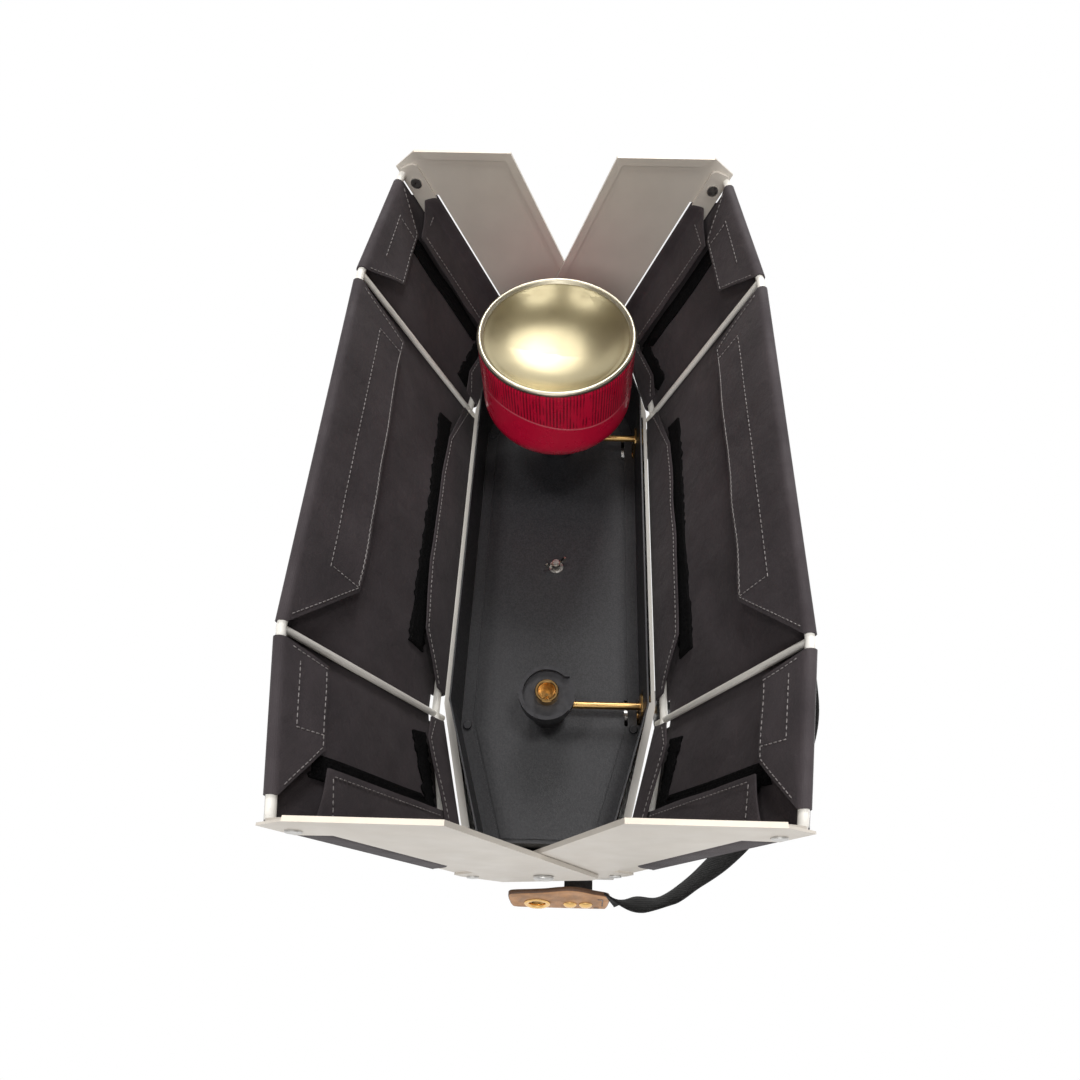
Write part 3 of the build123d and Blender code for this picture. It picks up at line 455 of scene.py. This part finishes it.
def flap_point(x, t, depth, rod_z, up, half):
    """Inside flap: t runs from the rod to the free edge, which stands off and ripples a little."""
    z = rod_z + up * depth * t
    lift = (0.4 + 1.5 * t * t) * (0.6 + 0.5 * wander(x, z, half, 34, 9)) * min(1, depth / 20)
    if up < 0:
        lift += top_slack(x, half) * (1 - 0.55 * t)
    return Vector((x, rod_y(x, half) - WRAP_R - max(0.0, lift), z))


def cover_field(name, half):
    """Rows of cloth from the top flap's free edge, over the top rod, down and up the foot flap."""
    low, high = {"left": (-POST_X[half] - 0.5, -RIB_X), "middle": (-RIB_X, RIB_X),
                 "right": (RIB_X, POST_X[half] + 0.5)}[name]
    top, foot = TOP_FLAPS[name], FOOT_FLAPS[name]
    marks = [x for table in (top, foot) for x, _ in table]
    columns = spread(low, high, 64 if name == "middle" else 34, *marks)
    rows = ([("top_flap", 1 - i / 8) for i in range(8)] + [("top_wrap", i / 6) for i in range(7)]
            + [("panel", i / 40) for i in range(1, 40)] + [("foot_wrap", i / 6) for i in range(7)]
            + [("foot_flap", i / 10) for i in range(1, 11)])
    verts = []
    for kind, t in rows:
        for x in columns:
            y = rod_y(x, half)
            if kind == "top_flap":
                verts.append(flap_point(x, t, ramp(top, x), TOP_ROD_Z, -1, half))
            elif kind == "top_wrap":
                slack = top_slack(x, half)
                middle, reach = y - slack / 2, WRAP_R + slack / 2
                z = TOP_ROD_Z + WRAP_R * sin(pi * t)
                verts.append(Vector((x, middle - reach * cos(pi * t), z)))
            elif kind == "panel":
                verts.append(panel_point(x, TOP_ROD_Z + (FOOT_ROD_Z - TOP_ROD_Z) * t, half))
            elif kind == "foot_wrap":
                z = FOOT_ROD_Z - WRAP_R * sin(pi * t)
                verts.append(Vector((x, y + WRAP_R * cos(pi * t), z)))
            else:
                verts.append(flap_point(x, t, ramp(foot, x), FOOT_ROD_Z, 1, half))

    def keep(r, c):
        """Leave the cloth out where it is notched round the ribs and the rod ends."""
        kinds, ends = (rows[r][0], rows[r + 1][0]), (columns[c], columns[c + 1])
        if kinds == ("panel", "panel"):
            return True
        if "panel" in kinds and name != "middle" and max(map(abs, ends)) > 190:
            return True
        flap = top if "top" in kinds[0] else foot
        return all(flap[0][0] <= x <= flap[-1][0] for x in ends)

    return verts, grid_faces(len(rows), len(columns), keep=keep)


def end_wrap(side, half):
    """Cloth from the outer field round the post, back along the inside, to the end flap's edge."""
    post = POST_X[half]
    outer_y, skin = POST_ROD_Y + WRAP_R, 0.7
    plan = smooth_line([
        (post - 9, outer_y + 1.5, 0), (post - 1, outer_y + 0.2, 0), (post + 2.3, outer_y - 1.2, 0),
        (post + 2 + skin, 49, 0), (post + 2 + skin, 40, 0), (post + 1.8, 36.6, 0), (post - 0.2, 36.4, 0),
        (post - skin, 38.5, 0), (post - 1.6, 44, 0), (post - 6, rod_y(post - 6, half) - 4.6, 0),
        (post - 16, rod_y(post - 16, half) - 4.8, 0), (post - 29, rod_y(post - 29, half) - 4.2, 0)], 5)
    lows = [(0, -162), (0.3, -152), (0.55, -149), (0.75, -152), (1, -143)]
    highs = [(0, -33), (0.2, -38), (0.45, -48), (0.65, -40), (1, -34)]
    count, verts = 40, []
    for r in range(count + 1):
        for i, point in enumerate(plan):
            u = i / (len(plan) - 1)
            z = ramp(lows, u) + (ramp(highs, u) - ramp(lows, u)) * r / count
            loose = max(0.0, u - 0.7) / 0.3
            y = point.y - loose * 0.8 * (1 + wander(z, 0, half, 30, side))
            verts.append(Vector((side * point.x, y, z)))
    return verts, grid_faces(count + 1, len(plan))


def capsule_faces(base):
    """Faces of four six-sided rings, closed at both ends."""
    faces = [tuple(base + i for i in f) for f in grid_faces(4, 6, wrap=True)]
    return faces + [tuple(base + k for k in range(6)), tuple(base + 18 + k for k in range(6))]


def stitches(name, lines, matrix, body, pitch=3.4, length=2.4, radius=0.32):
    """Row of thread stitches, each a short capsule, along lines given point by point."""
    verts, faces = [], []
    for line in lines:
        line = [Vector(p) for p in line]
        spans = [(a, b, (b - a).length) for a, b in zip(line, line[1:])]
        travelled, at = pitch / 2, 0.0
        for a, b, span in spans:
            while travelled < at + span:
                along = (b - a) / span
                middle = a + along * (travelled - at)
                side = along.cross(OUT).normalized()
                base = len(verts)
                for offset, size in ((-0.5, 0.35), (-0.3, 1.0), (0.3, 1.0), (0.5, 0.35)):
                    for k in range(6):
                        angle = pi * k / 3
                        ring = side * cos(angle) * radius * size + OUT * sin(angle) * radius * size
                        verts.append(middle + along * offset * length + ring)
                faces += capsule_faces(base)
                travelled += pitch
            at += span
    thing = mesh_object(name, verts, faces, THREAD, matrix=matrix)
    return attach(thing, body)


def on_flap(name, which, points, half):
    """Points just proud of a flap's inner face, given as x and height above or below the rod."""
    table = (FOOT_FLAPS if which == "foot" else TOP_FLAPS)[name]
    rod_z, up = (FOOT_ROD_Z, 1) if which == "foot" else (TOP_ROD_Z, -1)
    line = []
    for (x0, d0), (x1, d1) in zip(points, points[1:]):
        steps = max(2, int(hypot(x1 - x0, d1 - d0) / 4))
        for i in range(steps + (1 if (x1, d1) == points[-1] else 0)):
            x, d = x0 + (x1 - x0) * i / steps, d0 + (d1 - d0) * i / steps
            depth = max(ramp(table, x), 1.0)
            point = flap_point(x, min(1, d / depth), depth, rod_z, up, half)
            line.append(point - OUT * PROUD)
    return line


def flap_stitching(half):
    """Hem rows and the boxed rows that hold the hook strips."""
    box = [(-96, 46), (-96, 23), (80, 21), (82, 45), (-96, 46)]
    near = [(139, 10), (173, 9), (172, 27.5)]
    far = [(-148, 10), (-183, 8), (-182, 27)]
    lines = [
        on_flap("middle", "foot", [(-112.5, 2), (-104.5, 46), (82.5, 45.6), (117, 2)], half),
        on_flap("middle", "foot", box, half),
        on_flap("right", "foot", [(133.5, 4), (136.5, 29.4), (178, 27.3), (202, 2)], half),
        on_flap("right", "foot", near, half),
        on_flap("left", "foot", [(-130, 2), (-145, 30), (-187, 27.4), (-204, 2)], half),
        on_flap("left", "foot", far, half),
        on_flap("middle", "top", [(-112.5, 10), (-73, 28.6), (30, 31.5), (77, 27.8), (108, 7)], half),
        on_flap("right", "top", [(132.5, 10), (146, 17.8), (179, 10), (204, 5)], half),
        on_flap("left", "top", [(-132.5, 10), (-146, 17.8), (-179, 10), (-204, 5)], half),
    ]
    outer = [x for x in spread(-POST_X[half] + 6, POST_X[half] - 6, 80) if abs(abs(x) - RIB_X) > 4]
    post = POST_X[half]
    for z in (TOP_ROD_Z - 6, FOOT_ROD_Z + 7):
        for low, high in ((-post, -RIB_X), (-RIB_X, RIB_X), (RIB_X, post)):
            lines.append([panel_point(x, z, half) + OUT * PROUD for x in outer if low < x < high])
    for side in (-1, 1):
        edge = post - 25.5
        lines.append([(side * edge, rod_y(edge, half) - 6.7, -140 + 5 * i) for i in range(21)])
        across = [post - 5 - 5 * i for i in range(5)]
        lines.append([(side * x, rod_y(x, half) - 6.2, -140) for x in across])
    return lines


def hook_strip(name, corners, half, count=(60, 8)):
    """Fuzzy black strip on the inner face of the outer field, between four (x, z) corners."""
    (x0, z0), (x1, z1), (x2, z2), (x3, z3) = corners
    verts = []
    for r in range(count[1] + 1):
        v = r / count[1]
        for c in range(count[0] + 1):
            u = c / count[0]
            x = (x0 * (1 - u) + x1 * u) * (1 - v) + (x3 * (1 - u) + x2 * u) * v
            z = (z0 * (1 - u) + z1 * u) * (1 - v) + (z3 * (1 - u) + z2 * u) * v
            z += 1.3 * wander(x, z, half, 3, 2) if r in (0, count[1]) else 0
            point = panel_point(x, z, half)
            fuzz = 0.35 * noise.noise(Vector((x, z, 4)) / 1.3)
            verts.append(point - Vector((0, 1.35 + fuzz, 0)))
    strip = mesh_object(name, verts, grid_faces(count[1] + 1, count[0] + 1), VELCRO, matrix=place(half))
    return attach(thicken(strip, STRIP_T, False), f"{half}_leg")


def make_cover(half):
    """One mesh for a leg half's canvas, with its stitching and hook strips."""
    body, matrix = f"{half}_leg", place(half)
    verts, faces = [], []
    pieces = [cover_field(name, half) for name in FOOT_FLAPS]
    pieces += [end_wrap(side, half) for side in (-1, 1)]
    for piece_verts, piece_faces in pieces:
        base = len(verts)
        verts += piece_verts
        faces += [tuple(base + i for i in face) for face in piece_faces]
    cover = mesh_object(f"{half}_canvas_cover", verts, faces, CANVAS[half], matrix=matrix)
    loose = bmesh.new()
    loose.from_mesh(cover.data)
    bmesh.ops.delete(loose, geom=[v for v in loose.verts if not v.link_faces], context="VERTS")
    area = sum(f.calc_area() for f in loose.faces)
    loose.to_mesh(cover.data)
    loose.free()
    thicken(cover, CLOTH)
    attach(cover, body)
    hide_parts(*[f"{half}_cover_{name}" for name in ("left", "middle", "right")])
    stitches(f"{half}_cover_stitching", flap_stitching(half), matrix, body)
    post = POST_X[half]
    strips = {
        "middle": ((-97, -50), (90, -50), (88, -66), (-95, -66)),
        "right": ((140, -40), (184, -34), (186, -44), (142, -54)),
        "left": ((-140, -40), (-184, -34), (-186, -44), (-142, -54)),
        "end_right": ((post - 36, -146), (post - 24, -148), (post - 26, -36), (post - 37, -50)),
        "end_left": ((24 - post, -148), (36 - post, -146), (37 - post, -50), (26 - post, -36)),
    }
    for name, corners in strips.items():
        hook_strip(f"{half}_hook_strip_{name}", corners, half)


for half_name in ("front", "rear"):
    make_cover(half_name)


# ---- canister ------------------------------------------------------------------------------
def make_canister():
    """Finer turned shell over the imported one: domed-in gold bottom, beaded rim, red wall."""
    low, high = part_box("canister_shell")
    cx, cy, base, top = (low.x + high.x) * 500, (low.y + high.y) * 500, low.z * 1000, high.z * 1000
    r = (high.x - low.x) * 500
    outline = [(0.01, base + 15), (8, base + 14.8), (16, base + 14.1), (24, base + 12.9), (31, base + 11.1),
               (37, base + 9.0), (42, base + 6.8), (46, base + 4.7), (48.6, base + 3.0), (50.2, base + 2.4),
               (50.9, base + 1.2), (51.6, base + 0.4), (52.4, base), (53.3, base + 0.2), (54.0, base + 0.8),
               (r, base + 1.8), (r - 0.1, base + 2.6), (r - 0.7, base + 3.3), (r - 1.1, base + 3.9),
               (r - 0.9, base + 4.6), (r - 0.4, base + 5.6), (r - 0.3, base + 8), (r - 0.3, base + 20),
               (r - 0.3, base + 35), (r - 0.3, base + 50), (r - 0.3, top - 36), (54.0, top - 32.5),
               (53.1, top - 28.8), (51.6, top - 25.2), (49.6, top - 21.8), (46.6, top - 18.5),
               (42.5, top - 15.4), (37, top - 12.8), (30, top - 10.5), (22, top - 8.9), (15.5, top - 8.0),
               (13.9, top - 7.6), (13.5, top - 7.0), (13.5, top - 1.0), (13.2, top - 0.3), (12.5, top),
               (11.6, top - 0.1), (10.9, top - 0.8), (10.8, top - 8.9)]
    gold = lacquered("can_gold", (0.56, 0.49, 0.31), 0.24)
    rim = lacquered("can_rim", (0.82, 0.76, 0.60), 0.3)
    paint = canister_paint(cx / 1000, cy / 1000, base / 1000)

    def pick(centre):
        radius = hypot(centre.x * 1000 - cx, centre.y * 1000 - cy)
        height = centre.z * 1000 - base
        if radius < 50.3 and height < 20:
            return 0
        if height < 4.2 or height > top - base - 12:
            return 1
        return 2

    shell = lathe("canister_can", outline, (cx, cy), (gold, rim, paint), pick)
    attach(shell, "canister")
    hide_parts("canister_shell")


make_canister()


# ---- strap and leather ---------------------------------------------------------------------
TONGUE_LEAN = 7.5          # the tab's upper edge stands out this much further than its lower
TONGUE_LOW_Z, TONGUE_TALL, TONGUE_T = 190.0, 32.0, 3.0
TAB_INNER_X = 221.0        # where the fittings take the tabs' inner faces to be
EYELET_Y, STUD_YS, FIXING_Z = 5, (-26, -16), 214
STRAP_PATH = [
    ((227.0, -40.8, 206.0), (0.97, 0.0, -0.23)),
    ((228.0, -52.0, 202.0), (0.9, -0.4, 0.1)), ((230.0, -66.0, 196.0), (0.8, -0.6, 0.1)),
    ((223.0, -83.0, 186.0), (0.6, -0.8, 0.1)), ((213.0, -96.0, 168.0), (0.5, -0.85, 0.1)),
    ((204.0, -107.0, 138.0), (0.4, -0.9, 0.2)), ((192.0, -117.0, 104.0), (0.3, -0.95, 0.15)),
    ((176.0, -127.0, 72.0), (0.2, -0.98, 0.08)), ((158.0, -132.0, 52.0), (0.1, -0.99, 0.03)),
    ((140.0, -131.0, 46.0), (0.0, -0.99, 0.12)), ((115.0, -127.0, 45.0), (0.0, -0.924, 0.383)),
    ((60.0, -126.0, 45.0), (0.0, -0.924, 0.383)), ((0.0, -126.0, 45.0), (0.0, -0.924, 0.383)),
]


def make_strap():
    """Webbing with thicker woven edges, from tab to tab in front of the stove."""
    left = [((-x, y, z), (-nx, ny, nz)) for (x, y, z), (nx, ny, nz) in STRAP_PATH[:-1]]
    path = STRAP_PATH + left[::-1]
    centres = smooth_line([p for p, _ in path], 12)
    outs = smooth_line([n for _, n in path], 12)
    profile = [(-12.3, 0.15), (-12.0, 0.7), (-10.5, 0.85), (-9.5, 0.62), (-4, 0.72), (4, 0.72), (9.5, 0.62),
               (10.5, 0.85), (12.0, 0.7), (12.3, 0.15), (12.3, -0.15), (12.0, -0.7), (4, -0.72), (-4, -0.72),
               (-12.0, -0.7), (-12.3, -0.15)]
    verts = []
    for i, (centre, out) in enumerate(zip(centres, outs)):
        along = (centres[min(i + 1, len(centres) - 1)] - centres[max(i - 1, 0)]).normalized()
        across = along.cross(out).normalized()
        out = across.cross(along).normalized()
        verts += [(centre + across * a + out * b) / 1000 for a, b in profile]
    faces = grid_faces(len(centres), len(profile), wrap=True)
    faces += [tuple(range(len(profile))), tuple(range(len(verts) - len(profile), len(verts)))]
    strap = mesh_object("webbing_strap", verts, faces, WEBBING)
    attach(strap, "hob")
    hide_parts("shoulder_strap")


def lean_at(z):
    """How far the tongue stands out at height z."""
    return TONGUE_LEAN * (z - TONGUE_LOW_Z) / TONGUE_TALL


def on_tongue(side, inner, y, z):
    """Frame in the middle of the leather whose Z axis stands square out of the leaning tongue."""
    out = Vector((side * TONGUE_TALL, 0, -TONGUE_LEAN)).normalized()
    turn = out.to_track_quat("Z", "Y").to_matrix().to_4x4()
    x = side * (inner + lean_at(z) + TONGUE_T / 2)
    return Matrix.Translation(Vector((x, y, z)) / 1000) @ turn


def make_tab_fittings():
    """Brass eyelets and stud heads, set square on the leaning tongues."""
    eyelet = [(5.4, -1.9), (5.2, -1.4), (5.2, 1.2), (5.5, 1.9), (6.4, 2.3), (7.6, 2.3), (8.3, 1.9),
              (8.5, 1.5), (7.0, 1.4), (6.9, -1.4), (8.2, -1.5), (8.0, -1.9), (5.4, -1.9)]
    stud = [(0.01, 3.3), (1.6, 3.2), (3.2, 2.7), (4.2, 1.9), (4.5, 1.4), (0.01, 1.4)]
    verts, faces, segments = [], [], 48
    for side in (-1, 1):
        for y, outline in ((EYELET_Y, eyelet), *[(y, stud) for y in STUD_YS]):
            matrix, base = on_tongue(side, TAB_INNER_X, y, FIXING_Z), len(verts)
            for r, z in outline:
                for k in range(segments):
                    angle = 2 * pi * k / segments
                    verts.append(matrix @ (Vector((r * cos(angle), r * sin(angle), z)) / 1000))
            turned = grid_faces(len(outline), segments, wrap=True)
            faces += [tuple(base + i for i in f) for f in turned]
    fittings = mesh_object("tab_eyelets_and_studs", verts, faces, BRASS)
    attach(fittings, "hob")
    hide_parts("tab_fittings")


def make_tab(side):
    """Leather tongue with rounded outline and dark burnished edge, its upper edge leaning out."""
    name = "right" if side > 0 else "left"
    low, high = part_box(f"leather_tab_{name}")
    inner = (low.x if side > 0 else -high.x) * 1000
    outline = [(-39, 221.5), (-30, 222), (-9, 222), (12, 222), (19.5, 221.5), (21.5, 219),
               (22.5, 212), (23, 206), (22.6, 200), (19, 198), (10, 196.6), (0, 194.6),
               (-9, 191.6), (-16, 190.3), (-23, 191.8), (-31, 195.8), (-38, 198.6),
               (-40.6, 201), (-41, 206), (-40.4, 214), (-39.6, 219.5)]
    ring = smooth_line([Vector((0, y, z)) for y, z in outline + outline[:1]], 4)[:-1]
    middle = Vector((0, -9, 207))
    bands = [0.02, 0.35, 0.7, 0.93, 0.985, 1.0]

    def sheet(depths):
        rows = []
        for share, depth in zip(bands, depths):
            for p in ring:
                q = middle + (p - middle) * share
                rows.append(Vector((side * (inner + lean_at(q.z) + depth), q.y, q.z)) / 1000)
        return rows

    count, n = len(bands), len(ring)
    verts = sheet([TONGUE_T] * 4 + [2.75, 2.3]) + sheet([0.0] * 4 + [0.2, 0.6])
    faces = grid_faces(count, n, wrap=True)
    faces += [tuple(i + count * n for i in f) for f in grid_faces(count, n, wrap=True)]
    faces += [((count - 1) * n + i, (count - 1) * n + (i + 1) % n,
               (2 * count - 1) * n + (i + 1) % n, (2 * count - 1) * n + i) for i in range(n)]
    faces += [tuple(range(n)), tuple(range(count * n, count * n + n))]
    tab = mesh_object(f"leather_tongue_{name}", verts, faces, LEATHER, LEATHER_EDGE)
    for face in tab.data.polygons:
        if abs(face.normal.x) < 0.75:
            face.material_index = 1
    hole = mesh_object("cutter", [], [])
    work = bmesh.new()
    bmesh.ops.create_cone(work, cap_ends=True, segments=48, radius1=0.007, radius2=0.007, depth=0.03,
                          matrix=on_tongue(side, inner, EYELET_Y, FIXING_Z))
    work.to_mesh(hole.data)
    work.free()
    cut = tab.modifiers.new("eyelet_hole", "BOOLEAN")
    cut.object, cut.solver = hole, "EXACT"
    apply_modifiers(tab)
    bpy.data.objects.remove(hole)
    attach(tab, "hob")
    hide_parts(f"leather_tab_{name}")
    lines = [[(y, 218.6) for y in (-35, -30.5)], [(y, 203.5) for y in (-37, -32.5)],
             [(-36.5, z) for z in (204, 208, 212, 216)]]
    radius, outward = 0.00042, Vector((1, 0, 0))
    verts, faces = [], []
    for line in lines:
        row = [Vector((side * (inner + TONGUE_T + 0.15 + lean_at(z)), y, z)) / 1000 for y, z in line]
        for a, b in zip(row, row[1:]):
            flank = (b - a).normalized().cross(outward).normalized()
            faces += capsule_faces(len(verts))
            for t, size in ((0.1, 0.3), (0.25, 1), (0.75, 1), (0.9, 0.3)):
                for k in range(6):
                    ring_out = flank * cos(pi * k / 3) + outward * sin(pi * k / 3)
                    verts.append(a.lerp(b, t) + ring_out * radius * size)
    thread = mesh_object(f"leather_stitching_{name}", verts, faces, THREAD)
    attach(thread, "hob")


make_strap()
make_tab_fittings()
for tab_side in (-1, 1):
    make_tab(tab_side)


# ---- floor, light, camera ------------------------------------------------------------------
def make_floor():
    """Pale floor that is see-through from underneath, where the camera is."""
    size = 6.0
    corners = [(-size, -size, 0), (size, -size, 0), (size, size, 0), (-size, size, 0)]
    floor = mesh_object("floor", corners, [(0, 1, 2, 3)], smooth=False)
    mat = bpy.data.materials.new("floor_pale")
    mat.use_nodes = True
    nodes, links = mat.node_tree.nodes, mat.node_tree.links
    nodes.clear()
    out, mix = nodes.new("ShaderNodeOutputMaterial"), nodes.new("ShaderNodeMixShader")
    clear, matt = nodes.new("ShaderNodeBsdfTransparent"), nodes.new("ShaderNodeBsdfDiffuse")
    matt.inputs["Color"].default_value = rgba((0.86, 0.86, 0.86))
    side = nodes.new("ShaderNodeNewGeometry")
    links.new(side.outputs["Backfacing"], mix.inputs[0])
    links.new(matt.outputs[0], mix.inputs[1])
    links.new(clear.outputs[0], mix.inputs[2])
    links.new(mix.outputs[0], out.inputs["Surface"])
    floor.data.materials.append(mat)
    floor.visible_shadow = False


def make_world(strength):
    world = bpy.data.worlds.new("studio")
    bpy.context.scene.world = world
    world.use_nodes = True
    nodes, links = world.node_tree.nodes, world.node_tree.links
    back = nodes["Background"]
    back.inputs["Color"].default_value = (1, 1, 1, 1)
    path = nodes.new("ShaderNodeLightPath")
    seen = path.outputs["Is Camera Ray"]
    for kind in ("Is Glossy Ray", "Is Transmission Ray"):
        most = nodes.new("ShaderNodeMath")
        most.operation = "MAXIMUM"
        links.new(seen, most.inputs[0])
        links.new(path.outputs[kind], most.inputs[1])
        seen = most.outputs[0]
    level = nodes.new("ShaderNodeMapRange")
    level.inputs["To Min"].default_value = strength
    level.inputs["To Max"].default_value = 1.0
    links.new(seen, level.inputs["Value"])
    links.new(level.outputs[0], back.inputs["Strength"])


def area_light(name, place_at, target, size, power, color=(1, 1, 1)):
    data = bpy.data.lights.new(name, "AREA")
    data.size, data.energy, data.color = size, power, color
    lamp = bpy.data.objects.new(name, data)
    lamp.location = place_at
    lamp.rotation_euler = (Vector(target) - Vector(place_at)).to_track_quat("-Z", "Y").to_euler()
    bpy.context.scene.collection.objects.link(lamp)


def make_camera():
    """Low camera under the open legs, looking up into the stove."""
    focal, centre = 762.58, (565.78, 561.25)
    eye = Vector((0.27273, -0.01343, -0.31910))
    right, up, ahead = (Vector(v) for v in (
        (-0.0261, -0.9997, -0.0019), (-0.8756, 0.0238, -0.4825), (-0.4823, 0.0109, 0.8759)))
    data = bpy.data.cameras.new("camera")
    data.sensor_width, data.lens = 36.0, focal / 1080 * 36
    data.shift_x, data.shift_y = (540 - centre[0]) / 1080, (centre[1] - 540) / 1080
    data.clip_start = 0.01
    camera = bpy.data.objects.new("camera", data)
    camera.matrix_world = Matrix.Translation(eye) @ Matrix((right, up, -ahead)).transposed().to_4x4()
    bpy.context.scene.collection.objects.link(camera)
    bpy.context.scene.camera = camera


make_floor()
make_world(0.5)
area_light("key_far", (-1.2, -0.12, -0.93), (0, 0, 0.1), 0.5, 15)
area_light("key_low_front", (0.03, -0.34, -1.38), (0, 0, 0.1), 0.28, 5)
area_light("key_low_rear", (-0.05, 0.53, -1.33), (0, 0, 0.1), 0.24, 4)
area_light("fill_near", (1.0, 0.1, -0.9), (0, 0, 0.1), 0.7, 9.5)
area_light("window", (-1.5, -0.3, -0.1), (0, 0, 0.1), 0.22, 1.6, (0.75, 0.85, 1.0))
area_light("key_above", (-0.3, -1.2, 1.5), (0, 0, 0.1), 1.0, 15)
area_light("fill_above", (-1.0, 0.9, 1.2), (0, 0, 0.1), 1.2, 7)
make_camera()
bpy.context.scene.view_settings.view_transform = "Standard"
